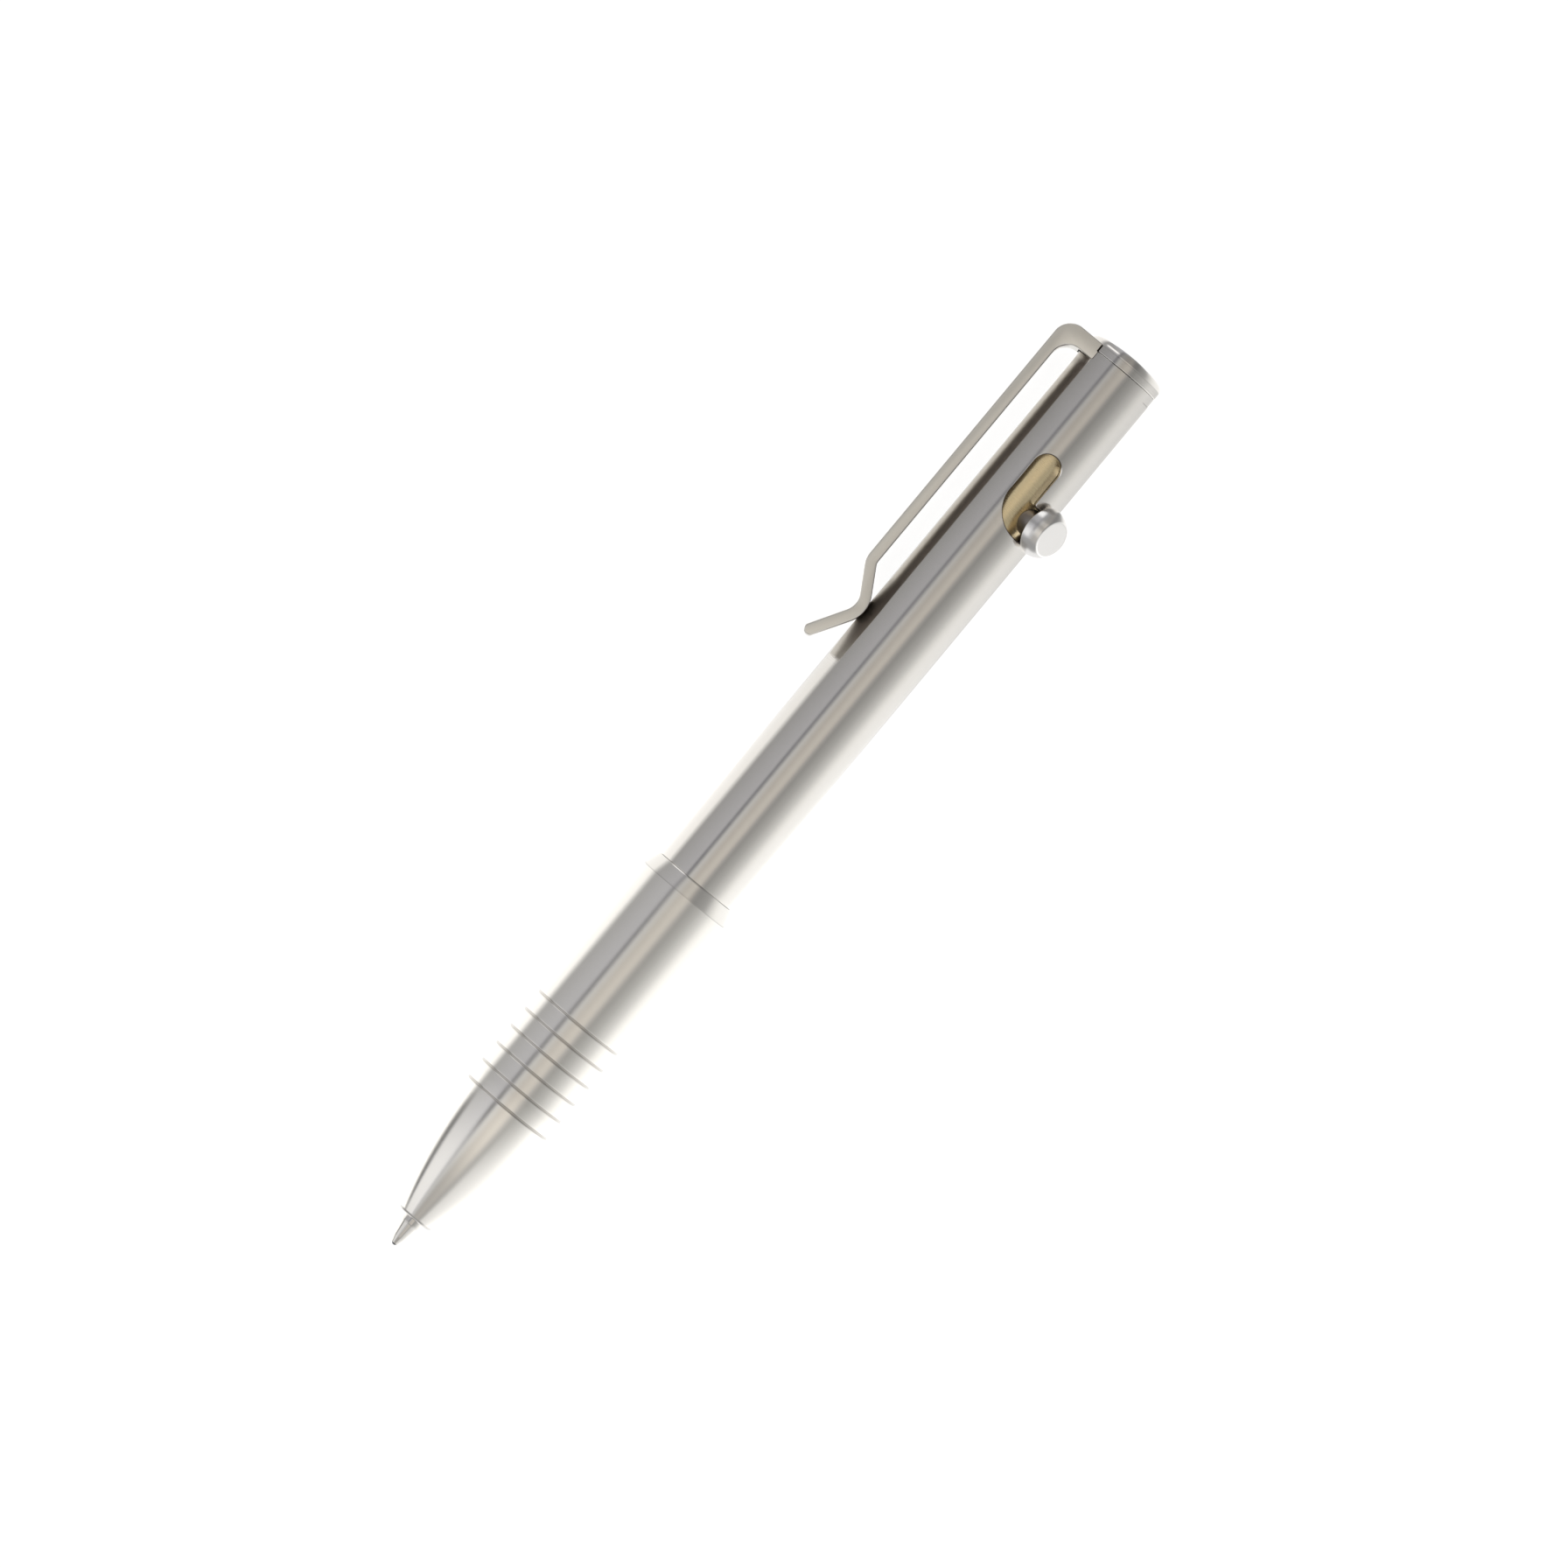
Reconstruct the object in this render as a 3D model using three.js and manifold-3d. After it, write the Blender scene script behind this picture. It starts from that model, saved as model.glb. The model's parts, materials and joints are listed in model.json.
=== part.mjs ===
// A bolt action pen. A turned titanium grip and barrel hold a metal ballpoint refill, which a brass
// carrier pushes out against a spring. A steel handle on the carrier stands out through a J-shaped
// slot: pushed down and turned into the slot's foot, it locks the tip out.
//
// Lengths are in millimetres and turns in radians. Every piece is drawn upright: +Y runs along the
// pen's axis from the nose's mouth (0) to the end cap, +X is the handle's side and -X the clip's.
// A turn about the axis is counted from +Z towards +X. The last lines lay the finished pen down.
import * as THREE from "three";
import { mergeVertices } from "three/addons/utils/BufferGeometryUtils.js";
import Module from "manifold-3d";

const wasm = await Module();
wasm.setup();

const radians = THREE.MathUtils.degToRad;

// Clearances between pieces, and how far a cutter passes what it cuts
const runningClear = 0.05;
const seatClear = 0.04;
const threadClear = 0.05;
const overrun = 1;

// Roundness: steps round a large diameter, round a small one and round the writing ball
const wideSteps = 56;
const slimSteps = 32;
const ballSteps = 12;

// Grip section, outside
const gripRadius = 5.57;
const gripLength = 47.42;
const mouthRadius = 2;
const mouthEdge = 0.15;
const noseLength = 17.5;
const gripRearRadius = 5;
const gripRearLength = 1.84;
const grooveFirst = 15.76;
const groovePitch = 2.38;
const grooveCount = 6;
const grooveWidth = 0.32;
const grooveDepth = 0.26;

// Grip section, inside
const springSeat = 4;
const springBoreRadius = 2.3;
const springBoreEnd = 9;
const refillBoreRadius = 3.1;
const socketDepth = 6.6;

// Barrel: its end wall is tapped for the end cap, and its head runs from the slot up to the cap
const barrelRadius = 4.825;
const barrelHeadLength = 11.7;
const barrelEdge = 0.12;
const carrierBoreRadius = 3.6;
const endWallThickness = 4;
const tenonRadius = 4.3;
const tenonLength = 6.4;
const reliefWidth = 0.7;
const reliefDepth = 0.22;
const tenonChamfer = 0.3;

// J-shaped slot in the barrel, as a round cutter mills it: the leg stands on the foot's upper edge
const slotWidth = 3.2;
const legTurn = radians(7.6);
const legLength = 5.5;
const cornerPathRadius = 2.2;
const footWidth = 4.02;
const innerCornerRadius = 0.3;

// Bolt handle
const handleTurn = radians(53);
const studRadius = 1.5;
const studDepth = 1.6;
const knobRadius = 2.9;
const knobFoot = 5.5;
const knobHeight = 1.95;
const knobEdge = 0.12;

// Bolt carrier: the socket for the refill's end, from there to the handle's axis, and on to its top
const carrierSocketDepth = 4.55;
const carrierNeckLength = 5.67;
const carrierHeadLength = 8.98;
const carrierEdge = 0.35;

// End cap, screwed down on the clip's tongue
const capThickness = 2.05;
const capRim = 0.8;
const capCrownRadius = 22;
const capShoulderRadius = 3.5;
const capStudRadius = 1.5;
const capStudLength = 3.6;

// Pocket clip
const clipWidth = 7.3;
const clipThickness = 1.3;
const clipInnerReach = 6.95;
const clipBevel = 0.16;
const clipLegThickness = 2;
const clipOuterCorner = 2.1;
const clipInnerCorner = 1.95;
const clipArmLength = 31.28;
const clipBendRadius = 1.9;
const clipBendAngle = radians(31);
const clipContactRadius = 2.75;
const clipContactGap = 0.05;
const clipContactDip = 0.24;
const clipToeReach = 7.95;
const clipToeAngle = radians(30.5);
const clipCapClear = 0.16;
const tongueThickness = 1.02;
const tongueWidth = 5.2;

// Refill, from its ball to its plug
const refillLength = 98.1;
const tipReach = 3.59;
const tipRadius = 1.175;
const tipLength = 8.9;
const coneLength = 2.84;
const coneStep = 0.08;
const crimpLength = 1.04;
const crimpRadius = 0.72;
const neckRadius = 1.5;
const shoulderAt = 14;
const shoulderRound = 0.7;
const refillRadius = 2.9;
const refillWall = 0.35;
const plugLength = 2;
const plugSpigot = 3;
const plugNotchWidth = 0.9;
const plugNotchDepth = 0.8;
const plugNotches = 3;
const ventRadius = 0.3;
const ballRadius = 0.35;
const ballClear = 0.03;
const lipAngle = radians(20);
const lipWall = 0.06;
const inkChannelRadius = 0.15;

// Return spring
const springWire = 0.4;
const springRadius = 1.95;
const springCurls = 7;
const stepsPerCurl = 8;
const wireSides = 5;

// Heights along the pen that follow from the refill: it stands on the carrier's seat, the handle
// stands off the seat and bears on the slot's foot, and the barrel ends above the slot's leg
const slotRadius = slotWidth / 2;
const carrierSeat = refillLength - tipReach + seatClear;
const handleHeight = carrierSeat + carrierNeckLength;
const footTop = handleHeight + slotRadius;
const footBottom = footTop - footWidth;
const legTop = footTop + legLength;
const barrelTop = legTop + barrelHeadLength;

// A turned piece: the profile's points are [radius, height along the axis], counter-clockwise
function turned(profile, steps) {
  const points = profile.map(([radius, height]) => new THREE.Vector2(radius, height));
  return new THREE.LatheGeometry(points, steps);
}

// A turned piece with a bore: the profile closes on itself
function turnedRing(profile, steps) {
  return turned([...profile, profile[0]], steps);
}

// Points on an arc, as [radius, height] pairs
function arc(centreRadius, centreHeight, radius, from, to, steps) {
  return Array.from({ length: steps + 1 }, (_, i) => {
    const angle = from + ((to - from) * i) / steps;
    return [centreRadius + radius * Math.cos(angle), centreHeight + radius * Math.sin(angle)];
  });
}

// A closed geometry as a solid that booleans can join and cut
function solidOf(geometry) {
  const bare = geometry.clone();
  bare.deleteAttribute("normal");
  bare.deleteAttribute("uv");
  const merged = mergeVertices(bare);
  const corners = Array.from(merged.index.array);
  const kept = [];
  for (let i = 0; i < corners.length; i += 3) {
    const [a, b, c] = corners.slice(i, i + 3);
    if (a !== b && b !== c && c !== a) kept.push(a, b, c);
  }
  return new wasm.Manifold(
    new wasm.Mesh({
      numProp: 3,
      vertProperties: new Float32Array(merged.attributes.position.array),
      triVerts: new Uint32Array(kept),
    }),
  );
}

function geometryOf(solid) {
  const { vertProperties, triVerts } = solid.getMesh();
  const geometry = new THREE.BufferGeometry();
  geometry.setAttribute("position", new THREE.BufferAttribute(vertProperties, 3));
  geometry.setIndex(new THREE.BufferAttribute(triVerts, 1));
  return geometry;
}

// Directions at a turn about the pen's axis: outwards, and sideways towards growing turns
const outwardAt = (turn) => new THREE.Vector3(Math.sin(turn), 0, Math.cos(turn));
const sidewaysAt = (turn) => new THREE.Vector3(Math.cos(turn), 0, -Math.sin(turn));

// Moves a piece that is drawn on +Y out to a turn about the pen's axis, at a height along it
function pointedOut(geometry, turn, height) {
  const frame = new THREE.Matrix4().makeBasis(
    sidewaysAt(turn),
    outwardAt(turn),
    new THREE.Vector3(0, -1, 0),
  );
  return geometry.applyMatrix4(frame.setPosition(0, height, 0));
}

const finishes = {
  titanium: new THREE.MeshStandardMaterial({ color: 0x8f8b86, metalness: 0.9, roughness: 0.38 }),
  polishedSteel: new THREE.MeshStandardMaterial({ color: 0x9da0a4, metalness: 1, roughness: 0.2 }),
  brass: new THREE.MeshStandardMaterial({ color: 0xa58b57, metalness: 1, roughness: 0.4 }),
  springSteel: new THREE.MeshStandardMaterial({ color: 0xa9abae, metalness: 1, roughness: 0.3 }),
  refillSteel: new THREE.MeshStandardMaterial({ color: 0xb4b6b9, metalness: 1, roughness: 0.3 }),
  carbide: new THREE.MeshStandardMaterial({ color: 0x5b5c60, metalness: 1, roughness: 0.15 }),
  plastic: new THREE.MeshStandardMaterial({ color: 0x1f2024, metalness: 0, roughness: 0.45 }),
};

const pen = new THREE.Group();

function add(name, geometry, finish) {
  const mesh = new THREE.Mesh(geometry, finishes[finish]);
  mesh.name = name;
  pen.add(mesh);
}

// The grip section: an ogive nose that runs tangent into a straight grip with turned grooves, and
// a shallow cone down to the barrel. Its bore steps from the mouth to the spring's seat, the
// refill's bore and the threaded socket for the barrel.
function gripSection() {
  const drop = gripRadius - mouthRadius;
  const ogiveRadius = (noseLength ** 2 + drop ** 2) / (2 * drop);
  const ogive = (height) =>
    gripRadius - ogiveRadius + Math.sqrt(ogiveRadius ** 2 - (noseLength - height) ** 2);
  const ogiveSteps = 12;

  const outside = [[ogive(0) - mouthEdge, 0]];
  const grooves = Array.from({ length: grooveCount }, (_, i) => grooveFirst + i * groovePitch);
  const stations = Array.from({ length: ogiveSteps }, (_, i) => {
    return mouthEdge + ((noseLength - mouthEdge) * i) / ogiveSteps;
  });
  const clearOfGrooves = (height) => grooves.every((at) => Math.abs(height - at) > grooveWidth);
  const surface = (height) => (height < noseLength ? ogive(height) : gripRadius);
  for (const height of [...stations, noseLength].filter(clearOfGrooves)) {
    outside.push([surface(height), height]);
  }
  for (const at of grooves) {
    const floor = surface(at) - grooveDepth;
    outside.push([surface(at - grooveWidth / 2), at - grooveWidth / 2]);
    outside.push([floor, at - grooveWidth / 4], [floor, at + grooveWidth / 4]);
    outside.push([surface(at + grooveWidth / 2), at + grooveWidth / 2]);
  }
  outside.sort((a, b) => a[1] - b[1]);
  outside.push([gripRadius, gripLength - gripRearLength], [gripRearRadius, gripLength]);

  const mouthBore = tipRadius + runningClear;
  const socketRadius = tenonRadius + threadClear;
  return turnedRing(
    [
      ...outside,
      [socketRadius, gripLength],
      [socketRadius, gripLength - socketDepth],
      [refillBoreRadius, gripLength - socketDepth],
      [refillBoreRadius, springBoreEnd],
      [springBoreRadius, springBoreEnd],
      [springBoreRadius, springSeat],
      [mouthBore, springSeat],
      [mouthBore, 0],
    ],
    wideSteps,
  );
}

const slotArcSteps = 12;
const innerCornerSteps = 3;

// The slot's outline, counter-clockwise as seen from outside. At each point the cutter stands at
// a turn and a height, and touches the wall to one side of its own centre.
function slotOutline() {
  const outline = [];
  const sweep = (steps, from, to, place) => {
    for (let i = 0; i <= steps; i += 1) {
      const angle = from + ((to - from) * i) / steps;
      const { turn, height, radius = slotRadius, across = 0 } = place(angle);
      outline.push({
        turn,
        across: across + radius * Math.cos(angle),
        height: height + radius * Math.sin(angle),
      });
    }
  };
  const cornerHeight = footBottom + slotRadius + cornerPathRadius;
  // round top of the leg
  sweep(slotArcSteps, 0, Math.PI, () => ({ turn: legTurn, height: legTop - slotRadius }));
  // wide outer corner, where the cutter turns and climbs down at once
  sweep(slotArcSteps, Math.PI, 1.5 * Math.PI, (angle) => ({
    turn: legTurn + (cornerPathRadius * (1 + Math.cos(angle))) / barrelRadius,
    height: cornerHeight + cornerPathRadius * Math.sin(angle),
  }));
  // end of the foot, cut in a low pass and a high pass
  const footSteps = slotArcSteps / 2;
  sweep(footSteps, -Math.PI / 2, 0, () => ({ turn: handleTurn, height: footBottom + slotRadius }));
  sweep(footSteps, 0, Math.PI / 2, () => ({ turn: handleTurn, height: footTop - slotRadius }));
  // inner corner between the foot's upper edge and the leg
  sweep(innerCornerSteps, -Math.PI / 2, -Math.PI, () => ({
    turn: legTurn,
    across: slotRadius + innerCornerRadius,
    height: footTop + innerCornerRadius,
    radius: innerCornerRadius,
  }));
  return outline;
}

// The cutter's whole sweep as one solid: the outline, drawn once inside the bore and once outside
// the barrel, with the walls between them parallel to the cutter at each place
function slotCutter() {
  const outline = slotOutline();
  const depths = [carrierBoreRadius - overrun, 2 * barrelRadius];
  const corners = [];
  for (const depth of depths) {
    for (const { turn, across, height } of outline) {
      const corner = outwardAt(turn).multiplyScalar(depth);
      corner.addScaledVector(sidewaysAt(turn), across);
      corners.push(corner.x, height, corner.z);
    }
  }
  const count = outline.length;
  const flat = outline.map(({ turn, across, height }) => {
    return new THREE.Vector2(turn * barrelRadius + across, height);
  });
  const faces = [];
  for (const [a, b, c] of THREE.ShapeUtils.triangulateShape(flat, [])) {
    faces.push(a + count, b + count, c + count);
    faces.push(c, b, a);
  }
  for (let i = 0; i < count; i += 1) {
    const next = (i + 1) % count;
    faces.push(i + count, i, next + count);
    faces.push(next + count, i, next);
  }
  const cutter = new THREE.BufferGeometry();
  cutter.setAttribute("position", new THREE.Float32BufferAttribute(corners, 3));
  cutter.setIndex(faces);
  return cutter;
}

const tongueSlotDepth = tongueThickness + 2 * seatClear;
const tongueBottom = barrelTop - tongueSlotDepth + seatClear;
const tongueTop = tongueBottom + tongueThickness;

// The barrel: a tube bored from the front, with a threaded tenon for the grip and a solid top end
// that is tapped for the end cap, slotted across for the clip's tongue and milled for the bolt
function barrel() {
  const tenonBottom = gripLength - tenonLength;
  const reliefTop = gripLength + seatClear;
  const tapped = capStudRadius + threadClear;
  const carrierBoreTop = barrelTop - endWallThickness;
  const tube = turnedRing(
    [
      [carrierBoreRadius, tenonBottom],
      [tenonRadius - tenonChamfer, tenonBottom],
      [tenonRadius, tenonBottom + tenonChamfer],
      [tenonRadius, reliefTop - reliefWidth],
      [tenonRadius - reliefDepth, reliefTop - reliefWidth],
      [tenonRadius - reliefDepth, reliefTop],
      [barrelRadius - barrelEdge, reliefTop],
      [barrelRadius, reliefTop + barrelEdge],
      [barrelRadius, barrelTop - barrelEdge],
      [barrelRadius - barrelEdge, barrelTop],
      [tapped, barrelTop],
      [tapped, carrierBoreTop],
      [carrierBoreRadius, carrierBoreTop],
    ],
    wideSteps,
  );
  const slotLength = 2 * (barrelRadius + overrun);
  const slotHeight = tongueSlotDepth + overrun;
  const tongueSlot = new THREE.BoxGeometry(slotLength, slotHeight, tongueWidth + 2 * seatClear);
  tongueSlot.translate(0, barrelTop - tongueSlotDepth + slotHeight / 2, 0);
  return geometryOf(solidOf(tube).subtract(solidOf(slotCutter())).subtract(solidOf(tongueSlot)));
}

// The end cap: a disc with a crowned top and a long rounded edge, and its own threaded stud
function endCap() {
  const seat = barrelTop + seatClear;
  const rimTop = seat + capRim;
  const capTop = barrelTop + capThickness;
  const crown = (radius) => capTop - capCrownRadius + Math.sqrt(capCrownRadius ** 2 - radius ** 2);
  const shoulderTop = crown(capShoulderRadius);
  const edgeSteps = 6;
  const crownSteps = 3;
  const edge = Array.from({ length: edgeSteps }, (_, i) => {
    const angle = (Math.PI / 2) * (i / edgeSteps);
    return [
      capShoulderRadius + (barrelRadius - capShoulderRadius) * Math.cos(angle),
      rimTop + (shoulderTop - rimTop) * Math.sin(angle),
    ];
  });
  const top = Array.from({ length: crownSteps + 1 }, (_, i) => {
    const radius = capShoulderRadius * (1 - i / crownSteps);
    return [radius, crown(radius)];
  });
  return turned(
    [
      [0, seat - capStudLength],
      [capStudRadius - barrelEdge, seat - capStudLength],
      [capStudRadius, seat - capStudLength + barrelEdge],
      [capStudRadius, seat],
      [barrelRadius - barrelEdge, seat],
      [barrelRadius, seat + barrelEdge],
      ...edge,
      ...top,
    ],
    wideSteps,
  );
}

// The clip's side outline, as [reach from the pen's axis, height]: toe, contact bend, arm, the
// corner at the top and the thicker leg that comes back to the barrel
function clipOutline() {
  const half = clipThickness / 2;
  const armReach = clipInnerReach + half;
  const outerReach = clipInnerReach + clipThickness;
  const legTopHeight = tongueBottom + clipLegThickness;
  const bend = { x: armReach - clipBendRadius, y: tongueBottom - clipArmLength };
  const contact = {
    x: barrelRadius + clipContactGap - clipContactDip + half + clipContactRadius,
  };
  // the straight between the two bends is tangent to both
  const climb =
    armReach - clipBendRadius * (1 - Math.cos(clipBendAngle)) -
    (contact.x - clipContactRadius * Math.cos(clipBendAngle));
  const straight = climb / Math.tan(clipBendAngle);
  contact.y = bend.y - straight - (clipBendRadius + clipContactRadius) * Math.sin(clipBendAngle);
  // the toe's straight leaves the contact bend on its other side
  const toeStart = {
    x: contact.x - clipContactRadius * Math.cos(clipToeAngle),
    y: contact.y - clipContactRadius * Math.sin(clipToeAngle),
  };
  const toeDrop = (clipToeReach - toeStart.x) / Math.tan(clipToeAngle);
  const toe = { x: clipToeReach, y: toeStart.y - toeDrop };

  const outline = new THREE.Shape();
  outline.absarc(toe.x, toe.y, half, clipToeAngle, clipToeAngle - Math.PI, true);
  outline.absarc(
    contact.x,
    contact.y,
    clipContactRadius + half,
    Math.PI + clipToeAngle,
    Math.PI - clipBendAngle,
    true,
  );
  outline.absarc(bend.x, bend.y, clipBendRadius - half, -clipBendAngle, 0, false);
  outline.absarc(
    clipInnerReach - clipInnerCorner,
    tongueBottom - clipInnerCorner,
    clipInnerCorner,
    0,
    Math.PI / 2,
    false,
  );
  outline.lineTo(barrelRadius / 2, tongueBottom);
  outline.lineTo(barrelRadius / 2, legTopHeight);
  outline.absarc(
    outerReach - clipOuterCorner,
    legTopHeight - clipOuterCorner,
    clipOuterCorner,
    Math.PI / 2,
    0,
    true,
  );
  outline.absarc(bend.x, bend.y, clipBendRadius + half, 0, -clipBendAngle, true);
  outline.absarc(
    contact.x,
    contact.y,
    clipContactRadius - half,
    Math.PI - clipBendAngle,
    Math.PI + clipToeAngle,
    false,
  );
  outline.closePath();
  return outline;
}

// The pocket clip: a bar milled to its outline with bevelled edges. Its leg and its contact bend are
// hollowed to sit on the barrel, and its tongue lies in the barrel's cross slot under the cap.
function pocketClip() {
  const bar = new THREE.ExtrudeGeometry(clipOutline(), {
    depth: clipWidth - 2 * clipBevel,
    curveSegments: 5,
    bevelEnabled: true,
    bevelThickness: clipBevel,
    bevelSize: clipBevel,
    bevelOffset: -clipBevel,
    bevelSegments: 1,
  });
  bar.translate(0, 0, clipBevel - clipWidth / 2);
  bar.rotateY(Math.PI);

  // one hollow for the barrel's side, all along the clip, and a wider one for the cap's
  const hollow = (radius, bottom, top) => {
    const cylinder = new THREE.CylinderGeometry(radius, radius, top - bottom, wideSteps);
    return solidOf(cylinder.translate(0, (bottom + top) / 2, 0));
  };
  const clipTop = tongueBottom + clipLegThickness + overrun;
  const clipBottom = tongueBottom - 2 * clipArmLength;
  const barrelHollow = hollow(barrelRadius + clipContactGap, clipBottom, clipTop);
  const capHollow = hollow(barrelRadius + clipCapClear, tongueTop, clipTop);

  const halfWidth = tongueWidth / 2;
  const tongueRadius = barrelRadius - seatClear;
  const endAngle = Math.asin(halfWidth / tongueRadius);
  const plan = new THREE.Shape();
  plan.moveTo(-barrelRadius - clipThickness, -halfWidth);
  plan.absarc(0, 0, tongueRadius, -endAngle, endAngle, false);
  plan.lineTo(-barrelRadius - clipThickness, halfWidth);
  plan.closePath();
  const tongue = new THREE.ExtrudeGeometry(plan, {
    depth: tongueThickness,
    curveSegments: slimSteps / 2,
    bevelEnabled: false,
  });
  tongue.rotateX(-Math.PI / 2);
  tongue.translate(0, tongueBottom, 0);
  const studHole = hollow(capStudRadius + threadClear, tongueBottom - overrun, clipTop);
  const clip = solidOf(bar).subtract(barrelHollow).subtract(capHollow).add(solidOf(tongue));
  return geometryOf(clip.subtract(studHole));
}

// The carrier: a brass slug that runs in the barrel, with a socket for the refill's end and a
// tapped cross hole for the handle
function boltCarrier() {
  const radius = carrierBoreRadius - runningClear;
  const socket = refillRadius + runningClear;
  const carrierBottom = carrierSeat - carrierSocketDepth;
  const carrierTop = handleHeight + carrierHeadLength;
  const slug = turned(
    [
      [0, carrierSeat],
      [socket, carrierSeat],
      [socket, carrierBottom],
      [radius - carrierEdge, carrierBottom],
      [radius, carrierBottom + carrierEdge],
      [radius, carrierTop - carrierEdge],
      [radius - carrierEdge, carrierTop],
      [0, carrierTop],
    ],
    wideSteps,
  );
  const holeRadius = studRadius + threadClear;
  const holeLength = studDepth + seatClear + radius + overrun;
  const hole = new THREE.CylinderGeometry(holeRadius, holeRadius, holeLength, slimSteps);
  hole.translate(0, holeLength / 2 - studDepth - seatClear, 0);
  pointedOut(hole, handleTurn, handleHeight);
  return geometryOf(solidOf(slug).subtract(solidOf(hole)));
}

// The handle: a threaded stud with a domed knob whose end is faced flat
function boltHandle() {
  const flatRadius = Math.sqrt(knobRadius ** 2 - knobHeight ** 2);
  const flatAngle = Math.asin(knobHeight / knobRadius);
  const edgeAngle = knobEdge / knobRadius;
  const domeSteps = 8;
  const handle = turned(
    [
      [0, -studDepth],
      [studRadius - knobEdge, -studDepth],
      [studRadius, knobEdge - studDepth],
      [studRadius, knobFoot],
      [knobRadius - knobEdge, knobFoot],
      ...arc(0, knobFoot, knobRadius, edgeAngle, flatAngle - edgeAngle, domeSteps),
      [flatRadius - knobEdge, knobFoot + knobHeight],
      [0, knobFoot + knobHeight],
    ],
    slimSteps,
  );
  return pointedOut(handle, handleTurn, handleHeight);
}

const shoulderHeight = shoulderAt - tipReach;
const neckHeight = tipLength - tipReach;
const plugHeight = refillLength - tipReach - plugLength;
const refillBore = refillRadius - refillWall;

// The refill's steel tube, drawn in at the front to a neck that holds the point
function refillTube() {
  const neckBore = tipRadius - refillWall + seatClear;
  const roundFoot = refillRadius - shoulderRound;
  const roundTop = shoulderHeight + shoulderRound;
  const roundSteps = 4;
  return turnedRing(
    [
      [neckBore, neckHeight],
      [neckRadius, neckHeight],
      [neckRadius, shoulderHeight],
      [roundFoot, shoulderHeight],
      ...arc(roundFoot, roundTop, shoulderRound, -Math.PI / 2, 0, roundSteps),
      [refillRadius, plugHeight],
      [refillBore, plugHeight],
      [refillBore, roundTop],
      [neckBore, shoulderHeight],
    ],
    slimSteps,
  );
}

// The plug in the refill's rear end, with cross cuts that let air in behind the ink
function refillPlug() {
  const top = plugHeight + plugLength;
  const bottom = plugHeight + seatClear;
  const spigot = refillBore - seatClear;
  let plug = solidOf(
    turnedRing(
      [
        [ventRadius, bottom - plugSpigot],
        [spigot, bottom - plugSpigot],
        [spigot, bottom],
        [refillRadius, bottom],
        [refillRadius, top],
        [ventRadius, top],
      ],
      slimSteps,
    ),
  );
  const notchLength = 2 * (refillRadius + overrun);
  for (let i = 0; i < plugNotches; i += 1) {
    const notch = new THREE.BoxGeometry(notchLength, 2 * plugNotchDepth, plugNotchWidth);
    notch.rotateY((Math.PI * i) / plugNotches);
    notch.translate(0, top, 0);
    plug = plug.subtract(solidOf(notch));
  }
  return geometryOf(plug);
}

const ballHeight = ballRadius - tipReach;
const cupRadius = ballRadius + ballClear;

// The point: a turned cone pressed into the refill's neck, with the ball's cup spun over at the
// front and an ink channel behind it
function refillPoint() {
  const spigot = tipRadius - refillWall;
  const lipHeight = ballHeight - cupRadius * Math.sin(lipAngle);
  const coneBase = coneLength - tipReach;
  const cupTop = Math.acos(inkChannelRadius / cupRadius);
  const cupSteps = 6;
  const cup = arc(0, ballHeight, cupRadius, cupTop, -lipAngle, cupSteps);
  return turnedRing(
    [
      [cupRadius * Math.cos(lipAngle) + lipWall, lipHeight],
      [crimpRadius, crimpLength - tipReach],
      [tipRadius - coneStep, coneBase],
      [tipRadius, coneBase + coneStep],
      [tipRadius, neckHeight - seatClear],
      [spigot, neckHeight - seatClear],
      [spigot, shoulderHeight - seatClear],
      [inkChannelRadius, shoulderHeight - seatClear],
      ...cup,
    ],
    slimSteps,
  );
}

// The ball that writes, held in the point's cup
function writingBall() {
  const ball = new THREE.SphereGeometry(ballRadius, ballSteps, ballSteps);
  return ball.translate(0, ballHeight, 0);
}

// The return spring: a compression spring between the grip's seat and the refill's shoulder
class SpringPath extends THREE.Curve {
  constructor(bottom, top) {
    super();
    this.bottom = bottom;
    this.top = top;
  }

  getPoint(share) {
    const rise = this.top - this.bottom;
    const angle = 2 * Math.PI * springCurls * share;
    return new THREE.Vector3(
      springRadius * Math.sin(angle),
      this.bottom + rise * share,
      springRadius * Math.cos(angle),
    );
  }
}

// The least gap between one curl and the next, measured on points along the spring
function leastCurlGap(path) {
  const points = path.getPoints(springCurls * stepsPerCurl);
  let least = Infinity;
  for (let i = 0; i < points.length; i += 1) {
    for (let j = i + stepsPerCurl / 2; j < points.length; j += 1) {
      least = Math.min(least, points[i].distanceTo(points[j]) - springWire);
    }
  }
  return least;
}

function returnSpring() {
  const half = springWire / 2;
  const path = new SpringPath(springSeat + seatClear + half, shoulderHeight - seatClear - half);
  console.log(`least gap between the spring's curls: ${leastCurlGap(path).toFixed(3)} mm`);
  const section = new THREE.Shape();
  section.absarc(0, 0, half, 0, 2 * Math.PI, false);
  return new THREE.ExtrudeGeometry(section, {
    steps: springCurls * stepsPerCurl,
    curveSegments: wireSides / 2,
    extrudePath: path,
    bevelEnabled: false,
  });
}

add("grip_section", gripSection(), "titanium");
add("barrel", barrel(), "titanium");
add("end_cap", endCap(), "titanium");
add("pocket_clip", pocketClip(), "titanium");
add("bolt_carrier", boltCarrier(), "brass");
add("bolt_handle", boltHandle(), "polishedSteel");
add("refill_tube", refillTube(), "refillSteel");
add("refill_plug", refillPlug(), "plastic");
add("refill_point", refillPoint(), "refillSteel");
add("writing_ball", writingBall(), "carbide");
add("return_spring", returnSpring(), "springSteel");

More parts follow.
